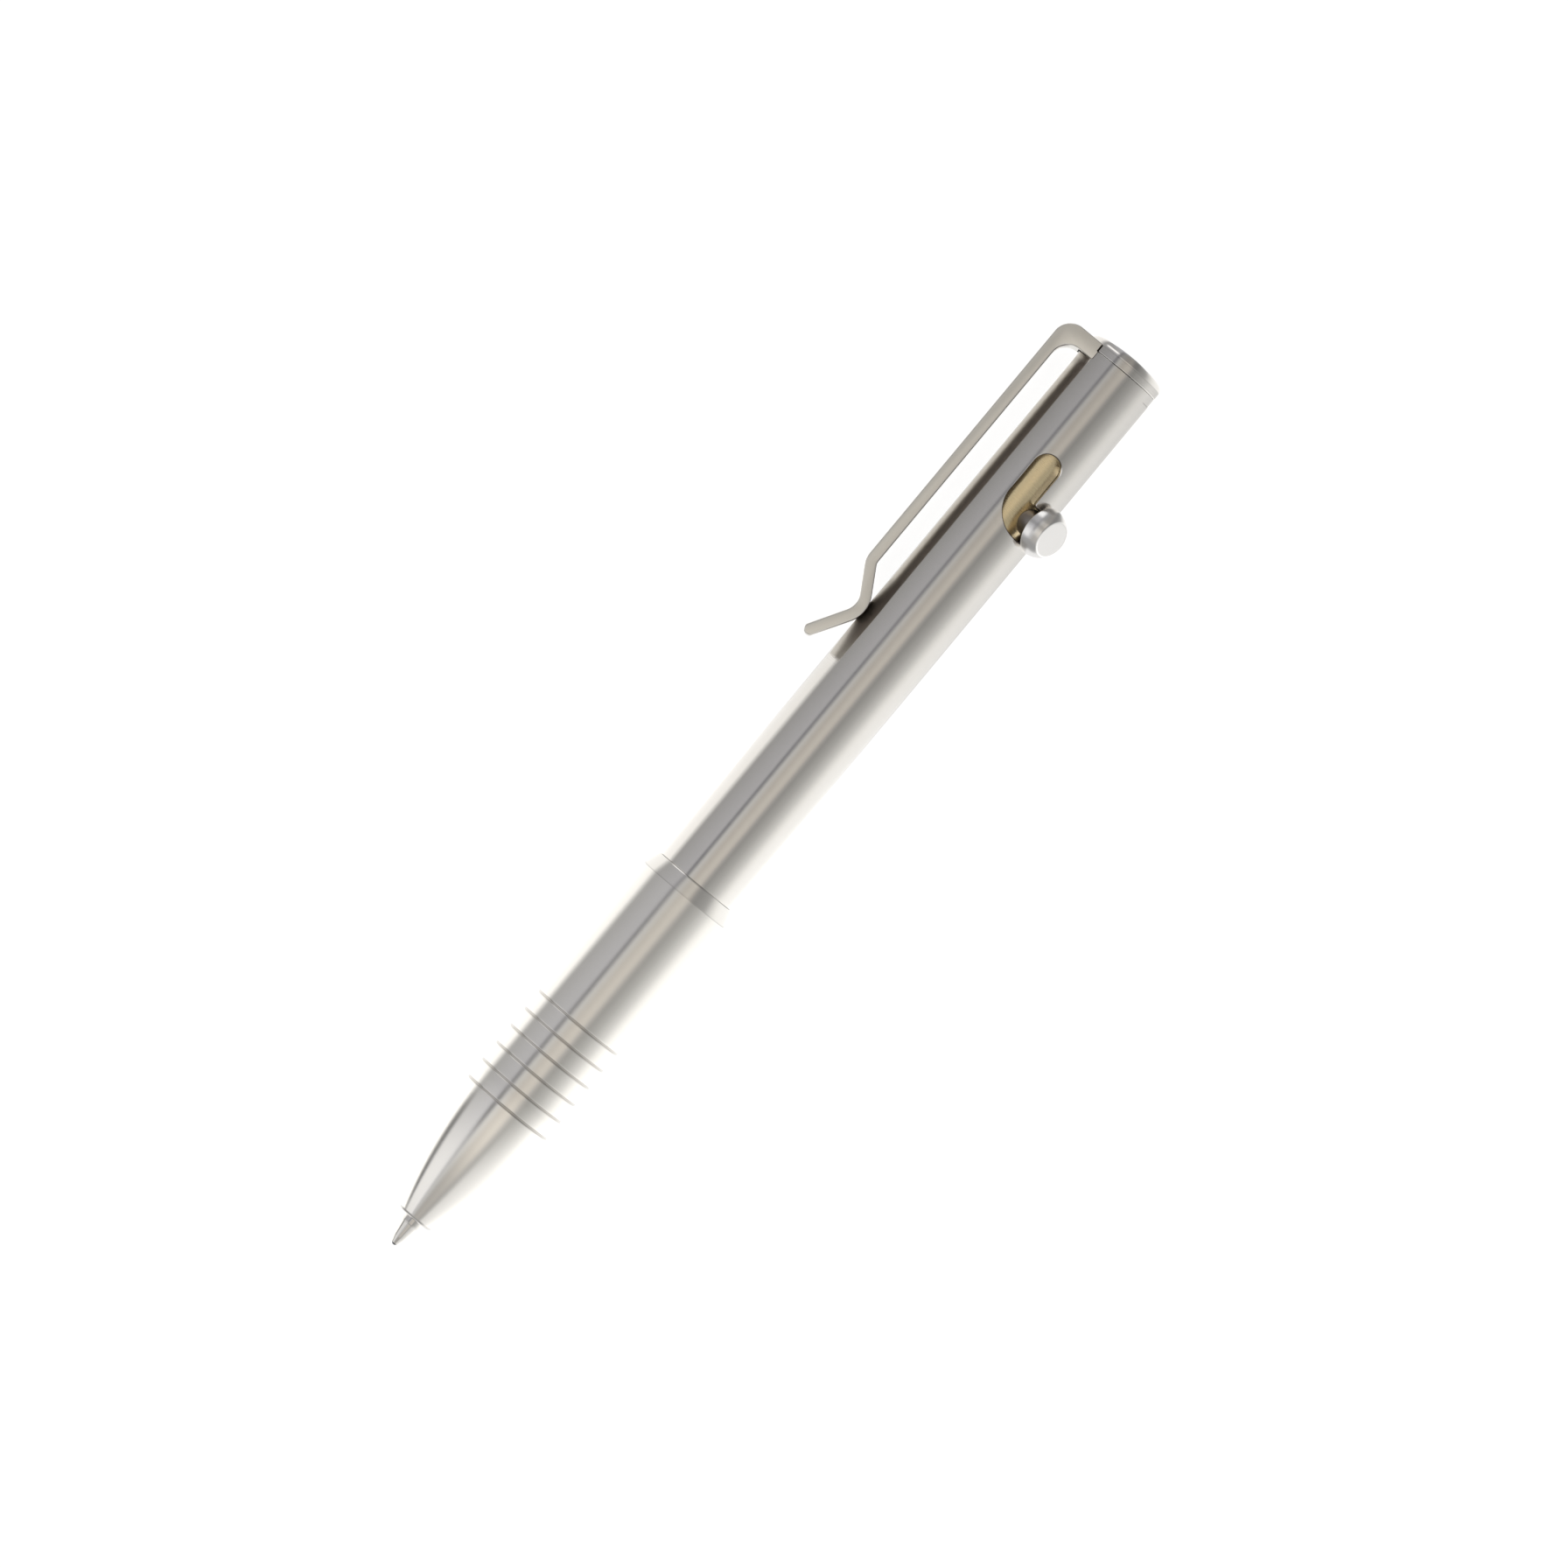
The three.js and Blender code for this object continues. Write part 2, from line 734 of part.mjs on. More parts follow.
// Laid down with its axis level along +X and the tip at the low end, and rolled, as a pen on a desk
// is, until the lower edge of the clip's toe is level with the bottom of the grip
const toeEdgeReach = clipToeReach + clipThickness / 2 - clipBevel;
const toeEdgeTurn = Math.atan2(clipWidth / 2, toeEdgeReach);
const roll = Math.asin(gripRadius / Math.hypot(toeEdgeReach, clipWidth / 2)) - toeEdgeTurn;
pen.rotation.z = -Math.PI / 2;
const rolled = new THREE.Group();
rolled.rotation.x = -roll;
rolled.add(pen);

// The origin is at the middle of the pen's footprint, on the surface that it lies on
const part = new THREE.Group();
part.add(rolled);
part.updateMatrixWorld(true);
const box = new THREE.Box3().setFromObject(part, true);
const middle = box.getCenter(new THREE.Vector3());
rolled.position.set(-middle.x, -middle.y, -box.min.z);

export default part;
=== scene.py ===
import json
import math

import bpy
from mathutils import Matrix, Vector


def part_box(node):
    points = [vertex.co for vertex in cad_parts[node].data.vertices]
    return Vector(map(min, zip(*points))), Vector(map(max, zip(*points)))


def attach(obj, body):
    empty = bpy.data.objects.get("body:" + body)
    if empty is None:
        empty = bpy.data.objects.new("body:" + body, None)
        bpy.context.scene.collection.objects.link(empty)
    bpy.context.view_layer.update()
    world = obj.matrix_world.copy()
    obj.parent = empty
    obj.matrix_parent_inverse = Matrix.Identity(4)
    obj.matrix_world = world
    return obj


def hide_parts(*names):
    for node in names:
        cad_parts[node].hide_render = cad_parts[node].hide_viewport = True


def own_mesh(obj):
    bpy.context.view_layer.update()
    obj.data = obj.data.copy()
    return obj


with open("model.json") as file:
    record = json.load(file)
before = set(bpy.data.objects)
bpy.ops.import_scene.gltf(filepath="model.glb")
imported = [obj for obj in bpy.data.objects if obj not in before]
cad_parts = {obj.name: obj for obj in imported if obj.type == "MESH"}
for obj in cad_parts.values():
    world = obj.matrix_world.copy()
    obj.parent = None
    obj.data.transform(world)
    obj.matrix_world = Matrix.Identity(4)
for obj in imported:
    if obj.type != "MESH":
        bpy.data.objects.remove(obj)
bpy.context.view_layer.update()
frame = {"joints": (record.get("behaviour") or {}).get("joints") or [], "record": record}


# The studio: a white floor, and a sky with soft bands of light and shade that run along the pen.
# Softboxes and dark flags stand beyond each end of the pen, and only faces that lean that way
# show them. The camera looks from far off straight at the side of the clip.
mm = 0.001
joints = {joint["name"]: joint for joint in frame["joints"]}
mounts = {mount["name"]: mount for mount in frame["record"]["mounts"]}
along = Vector((1, 0, 0))
knob_side = -Vector(mounts["clip_outer_face"]["axis"])
shown_side = knob_side.cross(along)
mouth = Vector((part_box("grip_section")[0].x, *joints["bolt_turn"]["pos_m"][1:]))
laid = Matrix((knob_side, -shown_side, along)).transposed().to_4x4()
laid = Matrix.Translation(mouth) @ laid @ Matrix.Scale(mm, 4)


class Term:
    """A value or colour in a shader. Python's operators add Math nodes, node() adds any other."""

    def __init__(self, tree, socket=None):
        self.tree = tree
        self.socket = socket

    def node(self, kind, settings, inputs, output=0):
        made = self.tree.nodes.new(kind)
        for name, value in settings.items():
            if name == "stops":
                for i, (place, colour) in enumerate(value):
                    stop = made.color_ramp.elements
                    stop = stop[i] if i < 2 else stop.new(place)
                    stop.position, stop.color = place, (*colour, 1)
            else:
                setattr(made, name, value)
        for name, value in inputs.items():
            if isinstance(value, Term):
                self.tree.links.new(made.inputs[name], value.socket)
            else:
                made.inputs[name].default_value = value
        return Term(self.tree, made.outputs[output] if made.outputs else None)

    def math(self, operation, *values):
        return self.node("ShaderNodeMath", {"operation": operation}, dict(enumerate(values)))

    def __add__(self, other):
        return self.math("ADD", self, other)

    def __sub__(self, other):
        return self.math("SUBTRACT", self, other)

    def __rsub__(self, other):
        return self.math("SUBTRACT", other, self)

    def __mul__(self, other):
        return self.math("MULTIPLY", self, other)

    def __truediv__(self, other):
        return self.math("DIVIDE", self, other)

    __radd__ = __add__
    __rmul__ = __mul__

    def towards(self, direction):
        """How far this vector reaches in a direction."""
        settings = {"operation": "DOT_PRODUCT"}
        return self.node("ShaderNodeVectorMath", settings, {0: self, 1: direction}, "Value")

    def step(self, start, end, low=0.0, high=1.0):
        """A soft step from low to high while this value goes from start to end."""
        inputs = {"Value": self, "From Min": start, "From Max": end, "To Min": low, "To Max": high}
        return self.node("ShaderNodeMapRange", {"interpolation_type": "SMOOTHSTEP"}, inputs)

    def mix(self, first, second):
        """A colour between two others: this value is the share of the second."""
        return self.node("ShaderNodeMix", {"data_type": "RGBA"}, {0: self, 6: first, 7: second}, 2)


def grey(level):
    return (level, level, level, 1)


def between(value, start, full, fading, end):
    """1 while a value lies between two limits, with soft edges on both sides."""
    return value.step(start, full) * value.step(end, fading)


# degrees round the pen from the camera towards the knob, and the sky's level there
SKY = (
    (-180, (1.22, 1.22, 1.21)),
    (-103, (1.08, 1.07, 1.05)),
    (-86, (0.39, 0.39, 0.39)),
    (-34, (0.48, 0.48, 0.50)),
    (-28, (0.24, 0.24, 0.26)),
    (-19, (0.60, 0.60, 0.59)),
    (-6, (0.54, 0.51, 0.47)),
    (8, (0.64, 0.61, 0.56)),
    (15, (0.60, 0.57, 0.53)),
    (21, (0.42, 0.41, 0.40)),
    (28, (0.34, 0.34, 0.33)),
    (49, (0.47, 0.47, 0.46)),
    (70, (0.69, 0.69, 0.68)),
    (90, (1.02, 1.02, 1.00)),
    (103, (1.12, 1.12, 1.11)),
    (180, (1.24, 1.24, 1.23)),
)

world = bpy.data.worlds.new("studio")
bpy.context.scene.world = world
world.use_nodes = True
world.node_tree.nodes.clear()
sky = Term(world.node_tree)
ray = sky.node("ShaderNodeTexCoord", {}, {}, "Generated")
facet = sky.node("ShaderNodeVectorMath", {"operation": "ADD"}, {0: ray, 1: shown_side}, "Vector")
across, outward = facet.towards(knob_side), facet.towards(shown_side)
turn = sky.math("ARCTAN2", across, outward) * (360 / math.pi)
tipwards = facet.towards(-along) / sky.math("SQRT", across * across + outward * outward)
stops = [(degrees / 360 + 0.5, colour) for degrees, colour in SKY]
bands = sky.node("ShaderNodeValToRGB", {"stops": stops}, {0: turn / 360 + 0.5})
falloff = 1 + (tipwards.step(-0.09, 0.09, 0.66, 1.38) - 1) * tipwards.step(-0.22, -0.12)
scaled = {0: bands, "Scale": falloff}
lit = sky.node("ShaderNodeVectorMath", {"operation": "SCALE"}, scaled, "Vector")

# beyond the tip: a softbox at the clip's side with dark edges, a flag in the middle, and a soft
# light at the knob's side
softbox = between(turn, -84, -72, -38, -20) * between(tipwards, 0.06, 0.3, 0.48, 0.58)
lit = (softbox * 0.75).mix(lit, grey(1.1))
flag = between(turn, -26, -14, 16, 30) * tipwards.step(0.14, 0.36)
lit = (flag * 0.65).mix(lit, grey(0.3))
knob_light = between(turn, 24, 42, 90, 110) * between(tipwards, 0.05, 0.3, 0.48, 0.58)
lit = (knob_light * 0.56).mix(lit, grey(1.1))
outer_edge = between(turn, -97, -90, -82, -75) * between(tipwards, 0.06, 0.16, 0.4, 0.5)
inner_edge = between(turn, -34, -30, -25, -21) * between(tipwards, 0.01, 0.05, 0.1, 0.18)
lit = ((outer_edge + inner_edge) * 0.8).mix(lit, grey(0.12))

# beyond the cap: a low flag at the knob's side, a higher one in the middle, and a softbox at the
# clip's side
flag = between(turn, 8, 20, 55, 75) * tipwards.step(-0.15, -0.28)
lit = (flag * 0.45).mix(lit, grey(0.2))
flag = between(turn, -34, -20, 20, 50) * tipwards.step(-0.33, -0.42)
lit = (flag * 0.6).mix(lit, grey(0.16))
softbox = between(turn, -80, -70, -38, -28) * between(tipwards, -0.95, -0.8, -0.5, -0.42)
lit = softbox.mix(lit, grey(1.2))

# steep faces that look at the tip's end see a plain wall, darker behind the clip's side
bright = turn.step(40, 90) + turn.step(-95, -130) + tipwards.step(1.15, 1.5)
lit = tipwards.step(0.5, 0.7).mix(lit, bright.mix(grey(0.36), grey(1.0)))
seen = sky.node("ShaderNodeLightPath", {}, {}, "Is Camera Ray")
shown = sky.node("ShaderNodeBackground", {}, {"Color": seen.mix(lit, grey(1.0)), "Strength": 1.0})
sky.node("ShaderNodeOutputWorld", {}, {"Surface": shown})

bpy.context.scene.view_settings.view_transform = "Standard"

bpy.ops.object.select_all(action="DESELECT")
bpy.ops.mesh.primitive_circle_add(vertices=64, radius=4, fill_type="NGON")
floor = bpy.context.object
floor.name = "floor"
floor.visible_glossy = False
paper = bpy.data.materials.new("white_paper")
paper.use_nodes = True
paper.node_tree.nodes.clear()
white = Term(paper.node_tree)
seen = white.node("ShaderNodeLightPath", {}, {}, "Is Camera Ray")
glow = white.node("ShaderNodeEmission", {}, {"Color": seen.mix(grey(0.0), grey(0.88))})
matt = white.node("ShaderNodeBsdfDiffuse", {}, {"Color": grey(0.35)})
surface = white.node("ShaderNodeAddShader", {}, {0: glow, 1: matt})
white.node("ShaderNodeOutputMaterial", {}, {"Surface": surface})
floor.data.materials.append(paper)

CAMERA_HEIGHT = 61.65       # along the pen, to the middle of the picture
CAMERA_SIDEWAYS = 0.6       # from the pen's axis towards the knob
CAMERA_DISTANCE = 941
PEN_CLIMB = math.radians(50.2)      # of the pen in the picture
lens = bpy.data.cameras.new("camera")
lens.lens = 200
lens.sensor_width = 36
lens.clip_end = 20
camera = bpy.data.objects.new("camera", lens)
bpy.context.scene.collection.objects.link(camera)
bpy.context.scene.camera = camera
right = along * math.cos(PEN_CLIMB) + knob_side * math.sin(PEN_CLIMB)
up = along * math.sin(PEN_CLIMB) - knob_side * math.cos(PEN_CLIMB)
aim = Matrix((right, up, shown_side)).transposed().to_4x4()
standpoint = laid @ Vector((CAMERA_SIDEWAYS, -CAMERA_DISTANCE, CAMERA_HEIGHT))
camera.matrix_world = Matrix.Translation(standpoint) @ aim


# The barrel: a turned titanium tube, bored from the front, with a threaded tenon for the grip. Its
# top end is solid, tapped for the cap and slotted across for the clip's tongue. A round cutter
# mills the bolt's slot through the wall, and a smaller one breaks the slot's edge.
BARREL_RADIUS = 4.825
BARREL_FOOT = 47.46
BARREL_TOP = 119.02
BORE_RADIUS = 3.6
BORE_TOP = 115.02
TENON_FOOT = 41.02
CAP_HOLE_RADIUS = 1.55
TONGUE_SLOT_WIDTH = 5.28
TONGUE_SLOT_FOOT = 117.92
TONGUE_SLOT_CUT = 2.1       # height of its cutter, which runs out past the barrel's top
CUT_ACROSS = 12             # length of a cutter that passes right through the pen
SEAM_ROUND = 0.06           # radius of the soft edges at the seams
THREAD_CREST, THREAD_ROOT, THREAD_PITCH = 4.3, 3.93, 0.75
THREAD_TURNS = 6
TENON_THREAD_FOOT = 41.5
TENON_RIDGE_HALF = 0.27     # half of the thread's ridge at its root
RIDGE_CREST_HALF = 0.05
RIDGE_ROOTED = 0.02         # how far the ridge reaches into its wall
ROUND = 320                 # steps round a large diameter
LINES_PER_MM = 14           # turning lines

SLOT_RADIUS = 1.6
SLOT_LEG_TURN = math.radians(7.6)
HANDLE_TURN = math.radians(53)
SLOT_LEG_TOP = 107.32
SLOT_FOOT_TOP = 101.82
SLOT_FOOT_BOTTOM = 97.8
SLOT_CORNER = 2.2           # radius of the cutter's path round the outer corner
SLOT_INNER_CORNER = 0.3
SLOT_CHAMFER = 0.1


def turned(name, profile, steps=ROUND):
    """A piece turned from a closed or open profile of (radius, height) points. A long face gets a
    ring close to each of its ends, so that the rounding beside it doesn't tilt its shading."""
    rings = [profile[0]]
    for start, end in zip(profile, profile[1:]):
        length = math.dist(start, end)
        if length > 0.6:
            shares = (0.02 / length, 1 - 0.02 / length)
            rings += [tuple(a + (b - a) * share for a, b in zip(start, end)) for share in shares]
        rings.append(end)
    profile = rings
    bpy.ops.object.select_all(action="DESELECT")
    radius, height = profile[0]
    bpy.ops.mesh.primitive_plane_add(size=1, location=(radius, 0, height))
    bpy.ops.object.mode_set(mode="EDIT")
    bpy.ops.mesh.merge(type="CENTER")
    for (from_radius, from_height), (to_radius, to_height) in zip(profile, profile[1:]):
        move = (to_radius - from_radius, 0, to_height - from_height)
        bpy.ops.mesh.extrude_region_move(TRANSFORM_OT_translate={"value": move})
    bpy.ops.mesh.select_all(action="SELECT")
    if steps:
        bpy.ops.mesh.spin(steps=steps, angle=2 * math.pi, center=(0, 0, 0), axis=(0, 0, 1))
    bpy.ops.mesh.select_all(action="SELECT")
    bpy.ops.mesh.remove_doubles(threshold=0.0005)
    bpy.ops.mesh.normals_make_consistent(inside=False)
    bpy.ops.object.mode_set(mode="OBJECT")
    bpy.ops.object.transform_apply(location=True, rotation=False, scale=False)
    piece = bpy.context.object
    piece.name = piece.data.name = name
    return piece


def arc(radius, height, size, start, end, steps):
    """Points on a round corner of a profile, from one angle to another in degrees."""
    angles = [math.radians(start + (end - start) * i / steps) for i in range(steps + 1)]
    return [(radius + size * math.cos(a), height + size * math.sin(a)) for a in angles]


def chosen(piece):
    bpy.ops.object.select_all(action="DESELECT")
    piece.select_set(True)
    bpy.context.view_layer.objects.active = piece


def changed(piece, kind, **settings):
    """Puts a modifier on a piece and applies it."""
    chosen(piece)
    modifier = piece.modifiers.new(kind.lower(), kind)
    for name, value in settings.items():
        setattr(modifier, name, value)
    bpy.ops.object.modifier_apply(modifier=modifier.name)


def cut(piece, cutter, operation="DIFFERENCE"):
    """Cuts one piece with another, or joins them, and removes the second."""
    changed(piece, "BOOLEAN", object=cutter, operation=operation, solver="EXACT")
    bpy.data.objects.remove(cutter)


def rounded(piece, width, steps, angle):
    """Breaks the edges of a piece that are sharper than an angle."""
    changed(piece, "BEVEL", width=width, segments=steps, limit_method="ANGLE",
            angle_limit=math.radians(angle), use_clamp_overlap=True)


def finished(piece, body, node, material, smooth=32):
    """Shades a piece, lays it down in its place, gives it its material and body, and hides the CAD
    part that it stands for.
    """
    chosen(piece)
    bpy.ops.object.shade_smooth_by_angle(angle=math.radians(smooth))
    piece.data.transform(laid @ piece.matrix_world)
    piece.matrix_world = Matrix.Identity(4)
    piece.data.materials.clear()
    piece.data.materials.append(material)
    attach(piece, body)
    if node:
        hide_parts(node)


def block(size, centre):
    """A square cutter."""
    bpy.ops.object.select_all(action="DESELECT")
    bpy.ops.mesh.primitive_cube_add(size=1, location=centre, scale=size)
    return bpy.context.object


def slot_outline(wider):
    """The slot's outline as (turn of the cutter, place across it, height), wider by a margin."""
    outline = []

    def sweep(start, end, steps, place, radius=SLOT_RADIUS + wider):
        for i in range(steps + 1):
            angle = math.radians(start + (end - start) * i / steps)
            turn, across, height = place(angle)
            across += radius * math.cos(angle)
            outline.append((turn, across, height + radius * math.sin(angle)))

    leg, foot = SLOT_LEG_TURN, HANDLE_TURN
    corner_height = SLOT_FOOT_BOTTOM + SLOT_RADIUS + SLOT_CORNER
    sweep(0, 180, 32, lambda a: (leg, 0, SLOT_LEG_TOP - SLOT_RADIUS))
    sweep(180, 270, 32, lambda a: (leg + SLOT_CORNER * (1 + math.cos(a)) / BARREL_RADIUS, 0,
                                   corner_height + SLOT_CORNER * math.sin(a)))
    sweep(-90, 0, 16, lambda a: (foot, 0, SLOT_FOOT_BOTTOM + SLOT_RADIUS))
    sweep(0, 90, 16, lambda a: (foot, 0, SLOT_FOOT_TOP - SLOT_RADIUS))
    sweep(-90, -180, 8, lambda a: (leg, SLOT_RADIUS + SLOT_INNER_CORNER,
                                   SLOT_FOOT_TOP + SLOT_INNER_CORNER), SLOT_INNER_CORNER - wider)
    return outline


def slot_cutter():
    """The slot as a solid from inside the bore to outside the barrel. It widens at the surface."""
    inmost, outmost = 2.6, 7    # the cutter's flat ends, in the bore and outside the barrel
    outside = 0.18              # how far the widening runs on past the surface
    brim = SLOT_CHAMFER + outside
    levels = ((0, inmost, 0), (BARREL_RADIUS - SLOT_CHAMFER, 0, 0),
              (BARREL_RADIUS + outside, 0, brim), (0, outmost, brim))
    rings = []
    for radius, flat_depth, wider in levels:
        for turn, across, height in slot_outline(wider):
            depth = flat_depth or math.sqrt(radius ** 2 - across ** 2)
            outward = Vector((math.sin(turn), -math.cos(turn), 0))
            sideways = Vector((math.cos(turn), math.sin(turn), 0))
            rings.append(outward * depth + sideways * across + Vector((0, 0, height)))
    count = len(rings) // len(levels)
    bpy.ops.object.select_all(action="DESELECT")
    bpy.ops.mesh.primitive_circle_add(vertices=count, radius=1, fill_type="NGON")
    bpy.ops.object.mode_set(mode="EDIT")
    for _ in levels[1:]:
        bpy.ops.mesh.extrude_region_move(TRANSFORM_OT_translate={"value": (0, 0, 1)})
    bpy.ops.object.mode_set(mode="OBJECT")
    cutter = bpy.context.object
    for vertex in cutter.data.vertices:
        ring = round(vertex.co.z)
        angle = math.atan2(vertex.co.y, vertex.co.x) % (2 * math.pi)
        vertex.co = rings[ring * count + round(angle / (2 * math.pi) * count) % count]
    bpy.ops.object.mode_set(mode="EDIT")
    bpy.ops.mesh.select_all(action="SELECT")
    bpy.ops.mesh.remove_doubles(threshold=0.0005)
    bpy.ops.mesh.quads_convert_to_tris()
    bpy.ops.mesh.normals_make_consistent(inside=False)
    bpy.ops.object.mode_set(mode="OBJECT")
    return cutter


def reach(place, direction):
    """How far a place is from the pen's axis in a direction, in millimetres."""
    return (place.towards(direction) - mouth.dot(direction)) / mm


def reach_up(place):
    """The height along the pen, in millimetres."""
    return reach(place, along)


def axis_distance(place):
    across, facing = reach(place, knob_side), reach(place, shown_side)
    return place.math("SQRT", across * across + facing * facing)


def metal(name, colour, roughness, lines=0.12, spots=0.03, shade=None, shade_colour=None):
    """A worked metal: fine turning lines round the pen, faint cloudy tone and uneven gloss. Where
    shade() of the place is 1, it takes shade_colour and is duller: painted shade on most pieces,
    darker grooves on the grip."""
    material = bpy.data.materials.new(name)
    material.use_nodes = True
    material.node_tree.nodes.clear()
    base = Term(material.node_tree)
    place = base.node("ShaderNodeTexCoord", {}, {}, "Object")
    height = place.towards(along / mm)
    fine = base.node("ShaderNodeTexNoise", {"noise_dimensions": "1D"},
                     {"W": height * LINES_PER_MM, "Scale": 1.0, "Detail": 2.0, "Roughness": 0.6})
    coarse = base.node("ShaderNodeTexNoise", {"noise_dimensions": "1D"},
                       {"W": height * 1.7, "Scale": 1.0, "Detail": 1.0, "Roughness": 0.5})
    cloud = base.node("ShaderNodeTexNoise", {}, {"Vector": place, "Scale": 420.0, "Detail": 3.0})
    tone = (fine - 0.5) * (0.5 * lines) + (coarse - 0.5) * (0.25 * lines)
    tone = tone + (cloud - 0.5) * (4 * spots)
    darker = tuple(c * 0.78 for c in colour[:3]) + (1,)
    paint = (0.12 - tone).mix(colour, darker)
    gloss = roughness + (cloud - 0.5) * (2 * spots) + (fine - 0.5) * (0.3 * lines)
    if shade:
        shade_share = shade(place)
        paint = shade_share.mix(paint, shade_colour)
        gloss = gloss + shade_share * 0.25
    relief = base.node("ShaderNodeBump", {}, {
        "Strength": lines, "Distance": 0.02 * mm, "Height": fine})
    surface = base.node("ShaderNodeBsdfPrincipled", {}, {
        "Base Color": paint, "Metallic": 1.0, "Roughness": gloss, "Normal": relief})
    base.node("ShaderNodeOutputMaterial", {}, {"Surface": surface})
    return material


def wound(name, profile, foot, pitch, turns, steps=96):
    """A ridge with a closed profile of (radius, height) points that winds up round the axis."""
    ridge = turned(name, [(radius, foot + height) for radius, height in profile], 0)
    changed(ridge, "SCREW", axis="Z", angle=2 * math.pi, screw_offset=pitch, iterations=turns,
            steps=steps, render_steps=steps)
    bpy.ops.object.mode_set(mode="EDIT")
    bpy.ops.mesh.select_mode(type="EDGE")
    bpy.ops.mesh.select_all(action="DESELECT")
    bpy.ops.mesh.select_non_manifold()
    bpy.ops.mesh.edge_face_add()
    bpy.ops.mesh.select_mode(type="VERT")
    bpy.ops.mesh.select_all(action="SELECT")
    bpy.ops.mesh.normals_make_consistent(inside=False)
    bpy.ops.object.mode_set(mode="OBJECT")
    return ridge


def slot_painted_shade(place):
    """Painted shade on faces under the barrel's surface above its lower part: the slot's walls and
    chamfer, and the tongue and its slot under the cap. On the leg's wall at the knob's side, where
    its glint shows, the shade is kept to a line under the edge."""
    distance, height = axis_distance(place), reach_up(place)
    glint_wall = reach(place, knob_side).step(1.6, 1.9) * height.step(101.9, 102.2)
    wall_shade = (distance - glint_wall * 0.9).step(3.6, 3.7) * (distance + glint_wall * 0.1).step(4.82, 4.78)
    return wall_shade * height.step(90, 92)


# painted shade: the barrel's faces under its surface, at the slot and under the cap, are darkened
# and dulled
barrel_titanium = metal("barrel_titanium", (0.79, 0.765, 0.73, 1), 0.12,
                        shade=slot_painted_shade, shade_colour=(0.12, 0.10, 0.08, 1))

barrel = turned("barrel_tube", [
    (BORE_RADIUS, TENON_FOOT), (THREAD_ROOT - 0.03, TENON_FOOT), (THREAD_ROOT, TENON_FOOT + 0.12),
    (THREAD_ROOT, BARREL_FOOT),
    *arc(BARREL_RADIUS - SEAM_ROUND, BARREL_FOOT + SEAM_ROUND, SEAM_ROUND, -90, 0, 4),
    *arc(BARREL_RADIUS - SEAM_ROUND, BARREL_TOP - SEAM_ROUND, SEAM_ROUND, 0, 90, 4),
    (CAP_HOLE_RADIUS, BARREL_TOP), (CAP_HOLE_RADIUS, BORE_TOP), (BORE_RADIUS, BORE_TOP),
    (BORE_RADIUS, TENON_FOOT),
])
cut(barrel, slot_cutter())
tongue_slot = block((CUT_ACROSS, TONGUE_SLOT_WIDTH, TONGUE_SLOT_CUT),
                    (0, 0, TONGUE_SLOT_FOOT + TONGUE_SLOT_CUT / 2))
cut(barrel, tongue_slot)
finished(barrel, "barrel_body", "barrel", barrel_titanium)

ridge_root = THREAD_ROOT - RIDGE_ROOTED
tenon_thread = wound("barrel_tenon_thread", [
    (ridge_root, -TENON_RIDGE_HALF), (THREAD_CREST, -RIDGE_CREST_HALF),
    (THREAD_CREST, RIDGE_CREST_HALF), (ridge_root, TENON_RIDGE_HALF),
    (ridge_root, -TENON_RIDGE_HALF),
], TENON_THREAD_FOOT, THREAD_PITCH, THREAD_TURNS)
finished(tenon_thread, "barrel_body", None, barrel_titanium, 20)


# The pocket clip: titanium bar milled to its outline, tumbled so that its edges are soft. Its leg
# is hollowed to the barrel's round, and a thin tongue on it lies in the barrel's slot under the
# cap. A bend near the toe presses on the barrel.
CLIP_WIDTH = 7.3
CLIP_HALF = 0.65            # half of the bar's thickness
CLIP_REACH = 6.95           # from the pen's axis to the inner face
CLIP_EDGE = 0.16            # width of the soft edges
LEG_ROOT = 2.4              # how far in the leg is drawn before it is hollowed
HOLLOW_GAP = 0.05           # between the clip and the barrel
CAP_GAP = 0.11              # more of it beside the cap
TONGUE_BOTTOM = 117.96
TONGUE_TOP = 118.98
TONGUE_WIDTH = 5.2
TONGUE_GAP = 0.04           # from the tongue's round end to the barrel's surface
ROOT_LENGTH = 1.6           # of the square root between the leg and the tongue
ROOT_REACH = 4.6            # from the pen's axis to the root's middle
BELOW_TOE, ABOVE_LEG = 60, 125                  # round cutters run between these heights
BELOW_TONGUE, ABOVE_TONGUE = 117, 120
LEG_TOP = 119.96
BEND_HEIGHT = 86.68
BEND_RADIUS = 1.9
BEND_ANGLE = 31
CONTACT_RADIUS = 2.75
CONTACT_REACH = 8.035       # from the pen's axis to the middle of the contact bend
TOE_REACH = 7.95
TOE_ANGLE = 30.5
INNER_CORNER = 1.95
OUTER_CORNER = 2.1


